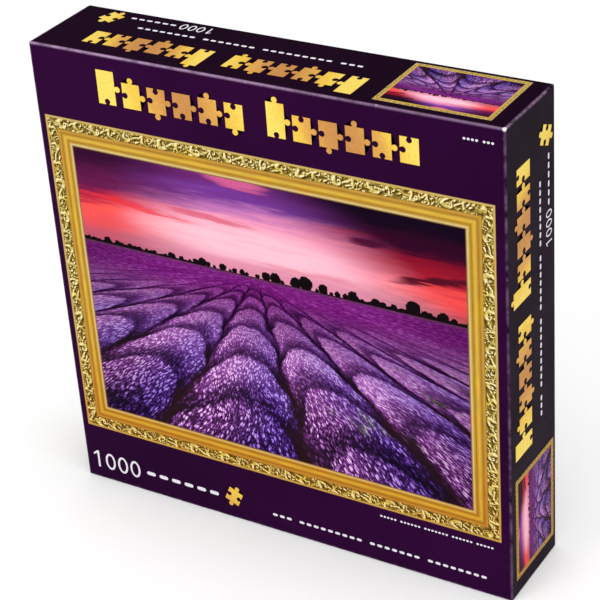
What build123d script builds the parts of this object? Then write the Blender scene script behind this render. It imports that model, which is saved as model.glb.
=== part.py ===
from build123d import *
import math
import os
import random

os.makedirs("parts", exist_ok=True)

# A boxed jigsaw puzzle: a two-piece rigid box standing on one long side, picture side towards -Y.
# X runs across the picture, Y from the picture to the back, Z up. The origin is the middle of the
# bottom side. The lid is an open shell that faces the back, and the tray slides into it from there.

# Driving dimensions, in millimetres.
BOX_WIDTH = 254.0
BOX_HEIGHT = 254.0
BOX_DEPTH = 51.0
BOARD = 1.8  # greyboard thickness
WRAP = 0.25  # printed and laminated paper
STAY = 0.12  # gummed paper tape over the corners of the board
STAY_REACH = 14.0  # how far a stay runs along each of its two walls
LID_SHORTFALL = 0.5  # the lid's rim stops this far in front of the tray's back
TRAY_CLEARANCE = 0.7  # between the lid's lining and the tray, on each side
TRAY_HEADROOM = 1.0  # between the tray's rim and the inside of the lid
TURN_IN = 16.0  # the wrap's width folded over the rim to the inside
OUTER_ROUND = 0.9  # radius of the wrapped outer edges

# The puzzle as it was cut.
COLUMNS = 40
ROWS = 25
PIECE_WIDTH = 17.5
PIECE_HEIGHT = 20.0
PIECE_THICKNESS = 1.9
KNOB_HEAD = 0.1  # a knob's sizes are shares of its side: the radius of its head,
KNOB_FILLET = 0.05  # the radius of the fillets beside its neck,
KNOB_REACH = 0.145  # and how far the head's middle stands out
KNOB_LEAN = 0.07  # how far a knob sits from the middle of its side
NECK_ANGLE = 20.0  # degrees up each fillet to the point that fixes its arc
CORNER_DRIFT = 0.7  # how far the cuts' crossings wander from a true grid
SKY_ROWS = 8  # rows from the top edge down to the horizon
FAR_ROWS = 12  # rows down to where the far field ends
MIDDLE_ROWS = 17  # rows down to where the middle field ends
CUT_SEED = 7
PACKING_SEED = 11

# The sealed bag that holds the pieces, and how they lie in it.
FILM = 0.2
BAG_WIDTH = 240.0
BAG_LENGTH = 226.0
BAG_THICKNESS = 38.5
BAG_ROUND = 7.0
SEAL_WIDTH = 8.0
SEAL_THICKNESS = 0.6
BAG_GAP = 0.3  # between the bag and the tray's floor
LAYER_SHELVES = 7
LAYER_PITCH = 2.0
TOP_LAYER_PITCH = 5.5  # the top layer lies loosely, so its pieces tilt
TOP_TILT = 4.5  # degrees
TURN_SPREAD = 12.0  # degrees either side of a quarter turn
ROUND_ALLOWANCE = 0.15  # round knobs reach past the points that mark them
TOP_LAYER_PIECES = 78  # about as many as one layer takes
SHELF_START = 3.0  # how far in from the film a shelf may start
BAG_MARGIN = 1.0  # from the film to the nearest piece

# The folded picture leaflet on top of the bag.
LEAFLET_WIDTH = 99.0
LEAFLET_HEIGHT = 210.0
LEAFLET_PANELS = 4
LEAFLET_PAPER = 0.14
LEAFLET_PITCH = 0.42  # from one folded panel to the next
LEAFLET_LEFT = -116.0
LEAFLET_GAP = 0.5  # between the bag and the leaflet

# Places that follow from those sizes.
FRONT = -BOX_DEPTH / 2
BACK = BOX_DEPTH / 2
MIDDLE_Z = BOX_HEIGHT / 2
LID_RIM = BACK - LID_SHORTFALL
TRAY_SIDE_LOSS = WRAP + BOARD + WRAP + TRAY_CLEARANCE
TRAY_WIDTH = BOX_WIDTH - 2 * TRAY_SIDE_LOSS
TRAY_HEIGHT = BOX_HEIGHT - 2 * TRAY_SIDE_LOSS
TRAY_RIM = FRONT + WRAP + BOARD + TRAY_HEADROOM
TRAY_FLOOR = BACK - WRAP - BOARD
BAG_BACK = TRAY_FLOOR - BAG_GAP
BAG_FRONT = BAG_BACK - BAG_THICKNESS


def block(width, height, y_low, y_high, edge_radius=0.0):
    """A box centred on the puzzle box's middle, between two depths, with all edges rounded."""
    solid = Box(width, y_high - y_low, height)
    if edge_radius > 0:
        solid = fillet(solid.edges(), edge_radius)
    return Pos(0, (y_low + y_high) / 2, MIDDLE_Z) * solid


def half_shell(width, height, closed_y, rim_y):
    """The greyboard, wrap and corner stays of one half of the box, open at rim_y."""
    inward = 1 if rim_y > closed_y else -1

    def between(first_y, second_y):
        return min(first_y, second_y), max(first_y, second_y)

    def layer(inset, radius):
        ends = between(closed_y + inward * inset, rim_y - inward * inset)
        return block(width - 2 * inset, height - 2 * inset, *ends, radius)

    def hollow(inset, from_y, to_y):
        return block(width - 2 * inset, height - 2 * inset, *between(from_y, to_y))

    beyond_rim = rim_y + inward * OUTER_ROUND
    inner_face = closed_y + inward * (WRAP + BOARD)
    board_outside = layer(WRAP, OUTER_ROUND - WRAP)
    board = board_outside - hollow(WRAP + BOARD, inner_face, beyond_rim)

    stay_skin = board_outside - layer(WRAP + STAY, OUTER_ROUND - WRAP - STAY)
    stays = []
    for side_x in (-1, 1):
        for side_z in (-1, 1):
            corner = Box(2 * STAY_REACH, 4 * BOX_DEPTH, 2 * STAY_REACH)
            place = Pos(side_x * width / 2, 0, MIDDLE_Z + side_z * height / 2)
            depth_limit = hollow(0, inner_face, rim_y - inward * 2 * BOARD)
            stays += (stay_skin & (place * corner) & depth_limit).solids()
    for stay in stays:
        board -= stay

    lined = WRAP + BOARD + WRAP
    fold_start = rim_y - inward * TURN_IN
    lining = hollow(WRAP + BOARD, fold_start, rim_y - inward * WRAP)
    lining -= hollow(lined, fold_start - inward, beyond_rim)
    wrap = layer(0, OUTER_ROUND) - board_outside
    wrap -= hollow(lined, rim_y - inward * 2 * WRAP, beyond_rim)
    return board, wrap + lining, stays


def knobbed_cut(start, end, knob_side, lean, fullness):
    """One cut from a crossing to the next: straight shoulders, and a round knob on a filleted neck.

    A cut is a list of runs, and a run is two points for a line or three for an arc.
    """
    middle = 0.5 + lean
    head = KNOB_HEAD * fullness
    fillet_radius = KNOB_FILLET * fullness
    head_height = KNOB_REACH * fullness
    fillet_away = math.sqrt((head + fillet_radius) ** 2 - (head_height - fillet_radius) ** 2)
    touch = head / (head + fillet_radius)
    touch_away = fillet_away * touch
    touch_height = head_height - (head_height - fillet_radius) * touch
    neck_away = fillet_away - fillet_radius * math.cos(math.radians(NECK_ANGLE))
    neck_height = fillet_radius - fillet_radius * math.sin(math.radians(NECK_ANGLE))
    left_half = [
        ((0, 0), (middle - fillet_away, 0)),
        ((middle - fillet_away, 0), (middle - neck_away, neck_height), (middle - touch_away, touch_height)),
        ((middle - touch_away, touch_height), (middle - head, head_height), (middle, head_height + head)),
    ]
    right_half = [
        ((middle, head_height + head), (middle + head, head_height), (middle + touch_away, touch_height)),
        ((middle + touch_away, touch_height), (middle + neck_away, neck_height), (middle + fillet_away, 0)),
        ((middle + fillet_away, 0), (1, 0)),
    ]
    along_x = end[0] - start[0]
    along_z = end[1] - start[1]

    def placed(forward, outward):
        outward *= knob_side
        x = start[0] + forward * along_x - outward * along_z
        return x, start[1] + forward * along_z + outward * along_x

    return [tuple(placed(*point) for point in run) for run in left_half + right_half]


def reversed_cut(cut):
    """The same cut, walked the other way."""
    return [run[::-1] for run in reversed(cut)]


def cut_pattern():
    """Every crossing and every cut of the puzzle, in the picture's own plane."""
    dice = random.Random(CUT_SEED)
    crossings = {}
    for column in range(COLUMNS + 1):
        for row in range(ROWS + 1):
            drift_x = dice.uniform(-CORNER_DRIFT, CORNER_DRIFT) if 0 < column < COLUMNS else 0
            drift_z = dice.uniform(-CORNER_DRIFT, CORNER_DRIFT) if 0 < row < ROWS else 0
            crossings[column, row] = (column * PIECE_WIDTH + drift_x, -row * PIECE_HEIGHT + drift_z)

    def cut(start, end, on_border):
        if on_border:
            return [(start, end)]
        lean = dice.uniform(-KNOB_LEAN, KNOB_LEAN)
        return knobbed_cut(start, end, dice.choice((-1, 1)), lean, dice.uniform(0.88, 1.1))

    across = {}
    for row in range(ROWS + 1):
        for column in range(COLUMNS):
            ends = crossings[column, row], crossings[column + 1, row]
            across[column, row] = cut(*ends, row in (0, ROWS))
    down = {}
    for column in range(COLUMNS + 1):
        for row in range(ROWS):
            ends = crossings[column, row], crossings[column, row + 1]
            down[column, row] = cut(*ends, column in (0, COLUMNS))
    return across, down


def piece_runs(across, down, column, row):
    """The runs around one piece, in order, about the piece's own middle."""
    middle_x = (column + 0.5) * PIECE_WIDTH
    middle_z = -(row + 0.5) * PIECE_HEIGHT
    ring = across[column, row] + down[column + 1, row]
    ring += reversed_cut(across[column, row + 1]) + reversed_cut(down[column, row])
    return [tuple((x - middle_x, z - middle_z) for x, z in run) for run in ring]


def turned(points, degrees):
    """Points turned about the middle."""
    cosine = math.cos(math.radians(degrees))
    sine = math.sin(math.radians(degrees))
    return [(x * cosine - z * sine, x * sine + z * cosine) for x, z in points]


def extent(runs, degrees):
    """Low and high corners that hold a piece's outline once it is turned."""
    points = turned([point for run in runs for point in run], degrees)
    low = min(x for x, _ in points) - ROUND_ALLOWANCE, min(z for _, z in points) - ROUND_ALLOWANCE
    high = max(x for x, _ in points) + ROUND_ALLOWANCE, max(z for _, z in points) + ROUND_ALLOWANCE
    return low, high


def piece_solid(runs, degrees, x, y, z, tilt_x, tilt_z):
    """One die-cut piece, laid at a place in the bag."""
    edges = []
    for run in runs:
        points = [Vector(px, 0, pz) for px, pz in turned(run, degrees)]
        edges.append(Edge.make_line(*points) if len(points) == 2 else Edge.make_three_point_arc(*points))
    face = Face(Wire(edges))
    solid = Solid.extrude(face, Vector(0, PIECE_THICKNESS, 0))
    solid = solid.moved(Location((0, -PIECE_THICKNESS / 2, 0)))
    return solid.moved(Location((x, y, z), (tilt_x, 0, tilt_z)))


def node_of_piece(column, row):
    """The group that a piece belongs to."""
    side_column = column in (0, COLUMNS - 1)
    if side_column and row in (0, ROWS - 1):
        return "corner_pieces"
    if side_column:
        return "left_edge_pieces" if column == 0 else "right_edge_pieces"
    if row in (0, ROWS - 1):
        return "top_edge_pieces" if row == 0 else "bottom_edge_pieces"
    if row < SKY_ROWS:
        return "sky_pieces"
    if row == SKY_ROWS:
        return "treeline_pieces"
    if row < FAR_ROWS:
        return "far_field_pieces"
    return "middle_field_pieces" if row < MIDDLE_ROWS else "near_field_pieces"


def way_to_lie(runs, dice):
    """A turn for a piece, near a right angle, and the corners that hold it once turned."""
    degrees = 90 * dice.randrange(4) + dice.uniform(-TURN_SPREAD, TURN_SPREAD)
    return degrees, *extent(runs, degrees)


def packed_pieces():
    """All pieces, shuffled and laid in the bag shelf by shelf and layer by layer from the back."""
    dice = random.Random(PACKING_SEED)
    across, down = cut_pattern()
    waiting = [(column, row) for column in range(COLUMNS) for row in range(ROWS)]
    dice.shuffle(waiting)
    room_x = BAG_WIDTH - 2 * BAG_MARGIN - BAG_ROUND
    room_z = BAG_LENGTH - 2 * BAG_MARGIN - BAG_ROUND
    low_x = -room_x / 2
    low_z = MIDDLE_Z - room_z / 2
    shelf = room_z / LAYER_SHELVES
    groups = {}
    y = BAG_BACK - FILM - BAG_MARGIN
    while waiting:
        loose = len(waiting) < TOP_LAYER_PIECES
        pitch = TOP_LAYER_PITCH if loose else LAYER_PITCH
        for number in range(LAYER_SHELVES):
            x = low_x + dice.uniform(0, SHELF_START)
            while waiting:
                column, row = waiting[-1]
                runs = piece_runs(across, down, column, row)
                degrees, low, high = way_to_lie(runs, dice)
                if x + high[0] - low[0] > low_x + room_x:
                    break
                waiting.pop()
                spare = shelf - (high[1] - low[1])
                assert spare >= 0, "a piece is taller than its shelf"
                z = low_z + number * shelf + dice.uniform(0, spare) - low[1]
                tilts = [dice.uniform(-TOP_TILT, TOP_TILT) if loose else 0 for _ in range(2)]
                solid = piece_solid(runs, degrees, x - low[0], y - pitch / 2, z, *tilts)
                groups.setdefault(node_of_piece(column, row), []).append(solid)
                x += high[0] - low[0]
        y -= pitch
    assert y > BAG_FRONT + FILM, f"the pieces reach {y} and the bag's film {BAG_FRONT + FILM}"
    return groups


def piece_bag():
    """The clear film bag, pillow shaped, with a flat crimped seal at the top and bottom."""
    outer = block(BAG_WIDTH, BAG_LENGTH, BAG_FRONT, BAG_BACK, BAG_ROUND)
    inner = block(
        BAG_WIDTH - 2 * FILM, BAG_LENGTH - 2 * FILM, BAG_FRONT + FILM, BAG_BACK - FILM, BAG_ROUND - FILM
    )
    seal_length = BAG_LENGTH + 2 * SEAL_WIDTH
    middle = (BAG_FRONT + BAG_BACK) / 2
    half = SEAL_THICKNESS / 2
    seals = block(BAG_WIDTH - 2 * BAG_ROUND, seal_length, middle - half, middle + half)
    return (outer + seals) - inner


def leaflet():
    """A picture sheet folded like an accordion to a narrow upright leaflet."""
    right = LEAFLET_LEFT + LEAFLET_WIDTH
    back = BAG_FRONT - LEAFLET_GAP - LEAFLET_PAPER
    path = []
    for panel in range(LEAFLET_PANELS):
        y = back - panel * LEAFLET_PITCH
        ends = [(LEAFLET_LEFT, y), (right, y)]
        path += ends if panel % 2 == 0 else ends[::-1]
    section = trace(Polyline(*path), LEAFLET_PAPER)
    return Pos(0, 0, MIDDLE_Z - LEAFLET_HEIGHT / 2) * extrude(section, LEAFLET_HEIGHT)


def write(node, *solids):
    """Write one node's solids to its STEP file."""
    shape = solids[0] if len(solids) == 1 else Compound(children=list(solids))
    export_step(shape, f"parts/{node}.step", write_pcurves=False)


lid_board, lid_wrap, lid_stays = half_shell(BOX_WIDTH, BOX_HEIGHT, FRONT, LID_RIM)
write("lid_board", lid_board)
write("lid_wrap", lid_wrap)
write("lid_corner_stays", *lid_stays)

tray_board, tray_wrap, tray_stays = half_shell(TRAY_WIDTH, TRAY_HEIGHT, BACK, TRAY_RIM)
write("tray_board", tray_board)
write("tray_wrap", tray_wrap)
write("tray_corner_stays", *tray_stays)

write("piece_bag", piece_bag())
write("picture_leaflet", leaflet())
for group, pieces in packed_pieces().items():
    write(group, *pieces)
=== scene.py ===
import math

import bmesh
import bpy
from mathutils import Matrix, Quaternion, Vector, noise as steady_noise


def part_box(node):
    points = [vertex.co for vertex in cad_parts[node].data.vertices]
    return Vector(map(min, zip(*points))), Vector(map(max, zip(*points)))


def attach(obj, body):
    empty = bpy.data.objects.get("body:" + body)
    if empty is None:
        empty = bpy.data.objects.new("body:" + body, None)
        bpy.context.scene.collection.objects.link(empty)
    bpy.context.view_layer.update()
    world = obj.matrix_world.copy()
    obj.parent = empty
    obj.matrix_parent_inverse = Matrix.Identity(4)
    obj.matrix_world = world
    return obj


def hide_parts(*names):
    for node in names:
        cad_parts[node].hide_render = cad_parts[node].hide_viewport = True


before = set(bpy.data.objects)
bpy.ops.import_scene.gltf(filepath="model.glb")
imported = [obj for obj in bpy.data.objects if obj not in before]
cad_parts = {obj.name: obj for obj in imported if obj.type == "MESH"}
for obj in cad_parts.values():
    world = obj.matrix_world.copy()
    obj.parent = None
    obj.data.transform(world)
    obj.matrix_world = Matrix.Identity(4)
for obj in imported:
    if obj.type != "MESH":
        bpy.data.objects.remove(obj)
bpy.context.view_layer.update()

# ---------------------------------------------------------------- sizes and places, in metres
MM = 0.001
BOX_LOW, BOX_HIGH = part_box("lid_wrap")
WIDTH = BOX_HIGH.x - BOX_LOW.x
HEIGHT = BOX_HIGH.z - BOX_LOW.z
SHEET = 0.05 * MM  # thickness of a printed layer on the wrap
INK_LIFT = 0.01 * MM  # gap between the wrap and the layer on it

# The printed layout of the front, from the left edge and down from the top edge.
FRONT_FRAME = (4.0 * MM, 37.6 * MM, 248.6 * MM, 220.2 * MM)  # left, top, right, bottom
FRAME_BAND = 15.0 * MM
SIDE_FRAME_BAND = 2.6 * MM
STRIP_FRAME = (9.0 * MM, 5.0 * MM, 67.5 * MM, 47.6 * MM)  # on each strip

LAMINATE_SHINE = 0.012  # the specular level of every laminated print
EDGE_REACH = 1.5 * MM  # how far from a fold the painted edge highlight and the wear flecks reach


# ---------------------------------------------------------------- colours
def srgb(red, green, blue):
    """A linear colour from 0 to 255 display values."""
    def linear(value):
        value /= 255
        return value / 12.92 if value <= 0.04045 else ((value + 0.055) / 1.055) ** 2.4
    return linear(red), linear(green), linear(blue), 1.0


# ---------------------------------------------------------------- short forms for node graphs
class Signal:
    """One output of a shader node. Arithmetic on it adds nodes to the same tree."""

    def __init__(self, tree, socket):
        self.tree = tree
        self.socket = socket

    def math(self, operation, *others):
        node = self.tree.nodes.new("ShaderNodeMath")
        node.operation = operation
        for place, value in enumerate((self, *others)):
            feed(self.tree, node.inputs[place], value)
        return Signal(self.tree, node.outputs[0])

    def __add__(self, other):
        return self.math("ADD", other)

    __radd__ = __add__

    def __sub__(self, other):
        return self.math("SUBTRACT", other)

    def __rsub__(self, other):
        return (self * -1.0) + other

    def __mul__(self, other):
        return self.math("MULTIPLY", other)

    def __truediv__(self, other):
        return self.math("DIVIDE", other)

    def __abs__(self):
        return self.math("ABSOLUTE")

    def power(self, exponent):
        return self.math("POWER", exponent)

    def at_least(self, other):
        return self.math("MAXIMUM", other)

    def at_most(self, other):
        return self.math("MINIMUM", other)

    def smooth(self, low, high, out_low=0.0, out_high=1.0):
        """Ease from out_low to out_high as this signal goes from low to high."""
        node = self.tree.nodes.new("ShaderNodeMapRange")
        node.interpolation_type = "SMOOTHSTEP"
        for place, value in enumerate((self, low, high, out_low, out_high)):
            feed(self.tree, node.inputs[place], value)
        return Signal(self.tree, node.outputs[0])

    def ramp(self, stops, easing="EASE"):
        """A colour from this signal, by stops of (place, colour)."""
        node = self.tree.nodes.new("ShaderNodeValToRGB")
        node.color_ramp.interpolation = easing
        elements = node.color_ramp.elements
        while len(elements) < len(stops):
            elements.new(0.5)
        for element, (place, colour) in zip(elements, stops):
            element.position = place
            element.color = colour
        feed(self.tree, node.inputs[0], self)
        return Signal(self.tree, node.outputs[0])

    def tones(self, dark, light):
        """A colour from dark to light, over the range that noise mostly has."""
        return self.ramp([(0.3, dark), (0.7, light)])


def feed(tree, socket, value):
    """Link a signal to an input, or set the input's own value."""
    if isinstance(value, Signal):
        tree.links.new(value.socket, socket)
    else:
        socket.default_value = value


def mix(factor, first, second, blend="MIX"):
    """One colour blended with another."""
    tree = next(item.tree for item in (factor, first, second) if isinstance(item, Signal))
    node = tree.nodes.new("ShaderNodeMix")
    node.data_type = "RGBA"
    node.blend_type = blend
    feed(tree, node.inputs[0], factor)
    feed(tree, node.inputs[6], first)
    feed(tree, node.inputs[7], second)
    return Signal(tree, node.outputs[2])


def point(x, y, z=0.0):
    """A vector from three numbers or signals."""
    tree = next(item.tree for item in (x, y, z) if isinstance(item, Signal))
    node = tree.nodes.new("ShaderNodeCombineXYZ")
    for place, value in enumerate((x, y, z)):
        feed(tree, node.inputs[place], value)
    return Signal(tree, node.outputs[0])


def parts_of(vector):
    """The three numbers of a vector."""
    node = vector.tree.nodes.new("ShaderNodeSeparateXYZ")
    feed(vector.tree, node.inputs[0], vector)
    return [Signal(vector.tree, output) for output in node.outputs]


def noise(vector, scale, detail=3.0, roughness=0.5, distortion=0.0):
    """Fractal noise from about 0.2 to 0.8."""
    node = vector.tree.nodes.new("ShaderNodeTexNoise")
    feed(vector.tree, node.inputs["Vector"], vector)
    feed(vector.tree, node.inputs["Scale"], scale)
    node.inputs["Detail"].default_value = detail
    node.inputs["Roughness"].default_value = roughness
    node.inputs["Distortion"].default_value = distortion
    return Signal(vector.tree, node.outputs[0])


def cells(vector, scale, dimensions="3D", randomness=1.0):
    """Distance to the nearest cell's middle, and that cell's random colour."""
    node = vector.tree.nodes.new("ShaderNodeTexVoronoi")
    node.voronoi_dimensions = dimensions
    entry = "W" if dimensions == "1D" else "Vector"
    feed(vector.tree, node.inputs[entry], vector)
    feed(vector.tree, node.inputs["Scale"], scale)
    node.inputs["Randomness"].default_value = randomness
    return Signal(vector.tree, node.outputs[0]), Signal(vector.tree, node.outputs[1])


def dice_of(value):
    """A steady random number from 0 to 1 for each number."""
    node = value.tree.nodes.new("ShaderNodeTexWhiteNoise")
    node.noise_dimensions = "1D"
    feed(value.tree, node.inputs["W"], value)
    return Signal(value.tree, node.outputs[0])


def new_group(name, inputs, output_kind="NodeSocketColor"):
    """An empty node group with number inputs. Returns the tree and its input signals."""
    tree = bpy.data.node_groups.new(name, "ShaderNodeTree")
    for label in inputs:
        tree.interface.new_socket(label, in_out="INPUT", socket_type="NodeSocketFloat")
    tree.interface.new_socket("Result", in_out="OUTPUT", socket_type=output_kind)
    entry = tree.nodes.new("NodeGroupInput")
    return tree, [Signal(tree, entry.outputs[label]) for label in inputs]


def finish_group(tree, result):
    leave = tree.nodes.new("NodeGroupOutput")
    feed(tree, leave.inputs[0], result)
    return tree


def use_group(group, *values):
    """Call a node group from the tree of its inputs."""
    tree = next(item.tree for item in values if isinstance(item, Signal))
    node = tree.nodes.new("ShaderNodeGroup")
    node.node_tree = group
    for place, value in enumerate(values):
        feed(tree, node.inputs[place], value)
    return Signal(tree, node.outputs[0])


def new_material(name):
    """A material with an empty Principled surface. Returns it, its tree and the surface node."""
    material = bpy.data.materials.new(name)
    material.use_nodes = True
    tree = material.node_tree
    surface = tree.nodes["Principled BSDF"]
    return material, tree, surface


def object_place(tree):
    """The shading point in the object's own metres."""
    node = tree.nodes.new("ShaderNodeTexCoord")
    return Signal(tree, node.outputs["Object"])


def sheet_place(tree):
    """The shading point on a printed sheet, from its UV map."""
    node = tree.nodes.new("ShaderNodeUVMap")
    node.uv_map = "print"
    return Signal(tree, node.outputs[0])


def bump(surface, tree, height, strength, distance):
    node = tree.nodes.new("ShaderNodeBump")
    node.inputs["Strength"].default_value = strength
    node.inputs["Distance"].default_value = distance
    feed(tree, node.inputs["Height"], height)
    tree.links.new(node.outputs[0], surface.inputs["Normal"])


def laminate(tree, surface, place, gloss=0.3):
    """The satin film over all print: even gloss with a faint orange-peel ripple."""
    ripple = noise(place, 900.0, 2.0)
    patches = noise(place, 60.0, 3.0)
    feed(tree, surface.inputs["Roughness"], patches.smooth(0.3, 0.7, gloss - 0.04, gloss + 0.06))
    surface.inputs["Specular IOR Level"].default_value = LAMINATE_SHINE
    bump(surface, tree, ripple, 0.06, 0.0002)


# ---------------------------------------------------------------- the lavender field picture
HORIZON = 0.332  # share of the picture's height, down from its top
MEETING = 0.473  # where the rows meet, across the picture
ROW_SPREAD = 0.604  # one row's width for each unit of height below the horizon
ROW_SHIFT = 0.255  # how far the middle row's own middle is from straight down
ROW_SLANT = 0.71  # how fast a row leans, squared, for each row away from the middle
PICTURE_SHAPE = 0.715  # the picture's height for each unit of width
BUSH_STEP = 0.46  # each bush down a row is this much nearer, as a natural logarithm


def sky_colour(across, down):
    """A sunset: indigo above, a red band from each side and a pale glow over the meeting point."""
    drift = noise(point(across * 1.6 + down * 2.5, down * 9.0), 1.7, 5.0, 0.6)
    fine = noise(point(across * 3.0 - down * 3.0, down * 26.0, 4.0), 2.4, 6.0, 0.62)
    away = abs(across - 0.47)
    level = down - away * away * 0.10 + (drift - 0.5) * 0.11 + (fine - 0.5) * 0.07
    left = level.ramp([
        (0.0, srgb(50, 10, 45)),
        (0.10, srgb(100, 25, 75)),
        (0.15, srgb(180, 35, 65)),
        (0.19, srgb(250, 85, 80)),
        (0.24, srgb(230, 80, 85)),
        (0.31, srgb(165, 85, 110)),
    ])
    centre = level.ramp([
        (0.0, srgb(110, 40, 115)),
        (0.06, srgb(115, 55, 145)),
        (0.10, srgb(185, 110, 175)),
        (0.15, srgb(245, 155, 185)),
        (0.24, srgb(250, 180, 200)),
        (0.32, srgb(220, 140, 165)),
    ])
    right = level.ramp([
        (0.0, srgb(20, 5, 25)),
        (0.08, srgb(50, 5, 35)),
        (0.12, srgb(130, 15, 40)),
        (0.18, srgb(160, 25, 45)),
        (0.23, srgb(240, 75, 75)),
        (0.32, srgb(120, 50, 60)),
    ])
    wander = across + (drift - 0.5) * 0.16
    colour = mix(wander.smooth(0.06, 0.40), left, centre)
    colour = mix((wander + (0.13 - down)).smooth(0.52, 0.86), colour, right)
    glow = (across - 0.44) * 3.0
    glow_down = (down - 0.215) * 13.0
    halo = (glow * glow + glow_down * glow_down).smooth(0.0, 1.1, 0.62, 0.0)
    colour = mix(halo * fine.smooth(0.3, 0.6, 0.5, 1.0), colour, srgb(255, 206, 216))

    def cloud(middle_across, middle_down, half_width, half_height, slope):
        shift = across - middle_across
        rise = down - middle_down - shift * slope + (fine - 0.5) * 0.05
        span = shift / half_width + (drift - 0.5) * 1.5
        lift = rise / half_height
        return (span * span + lift * lift).smooth(0.15, 1.0, 1.0, 0.0)

    colour = mix(cloud(0.765, 0.118, 0.055, 0.018, -0.12), colour, srgb(74, 14, 48))
    colour = mix(cloud(0.93, 0.200, 0.13, 0.017, -0.26), colour, srgb(84, 14, 34))
    colour = mix(cloud(0.36, 0.152, 0.13, 0.014, 0.05) * 0.65, colour, srgb(204, 60, 88))
    colour = mix(cloud(0.14, 0.168, 0.24, 0.014, 0.10) * 0.7, colour, srgb(238, 52, 60))
    colour = mix(cloud(0.62, 0.275, 0.22, 0.010, 0.02) * 0.4, colour, srgb(214, 108, 130))
    return mix(cloud(0.44, 0.006, 0.11, 0.030, 0.06) * 0.75, colour, srgb(226, 104, 150))


def tree_cover(across, down):
    """1 on the dark hedge and the round trees along the horizon."""
    up = (HORIZON + 0.002 - down) * PICTURE_SHAPE
    scale = across.smooth(0.15, 0.65, 0.55, 1.0)
    bushy = noise(point(across * 46.0, down * 8.0), 1.0, 4.0, 0.6)
    hedge = abs(across - 0.5).smooth(0.12, 0.30, 0.001, 0.0075) * bushy.smooth(0.25, 0.7, 0.5, 1.5)
    cover = (hedge - up).smooth(-0.0004, 0.0008)
    for spacing, biggest, shift in ((27.0, 0.0150, 0.0), (15.0, 0.0200, 3.3), (44.0, 0.0098, 7.1)):
        away, tone = cells(across + shift, spacing, dimensions="1D", randomness=0.6)
        radius = (parts_of(tone)[0] * 0.65 + 0.35) * scale * biggest
        rim = noise(point(across * 190.0, down * 140.0, shift), 1.0, 2.0)
        aside = away / spacing
        above = up - radius * 0.85
        reach = (aside * aside + above * above).power(0.5) + (rim - 0.5) * 0.007
        cover = cover.at_least((radius - reach).smooth(-0.0004, 0.0008))
    return cover * up.smooth(-0.002, 0.0)


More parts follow.
